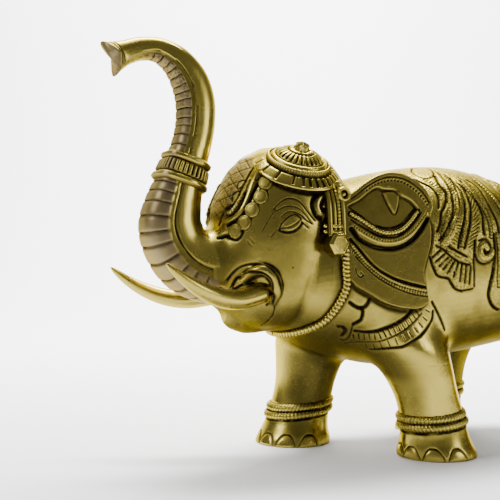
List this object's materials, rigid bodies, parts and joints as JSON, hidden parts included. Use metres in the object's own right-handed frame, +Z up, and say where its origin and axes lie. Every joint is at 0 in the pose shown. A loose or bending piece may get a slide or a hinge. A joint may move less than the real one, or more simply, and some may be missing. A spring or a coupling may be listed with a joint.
{
  "type": "brass elephant statue",
  "caption": "Cast brass elephant walking with its trunk raised, carved with a crown, net cap, ears, collars, saddle cloth and anklets, standing on its own feet.",
  "frame": {"origin": "middle of the footprint box, at the level of the soles", "axes": "+Z up, +X from head to tail, -Y towards the elephant's left side, which the picture shows"},
  "size_m": [0.3448, 0.119, 0.2359],
  "materials": {
    "brass": "brushed and polished on the high places, dark patina in the carving"
  },
  "bodies": {
    "root": {"elephant": "brass"}
  },
  "joints": []
}
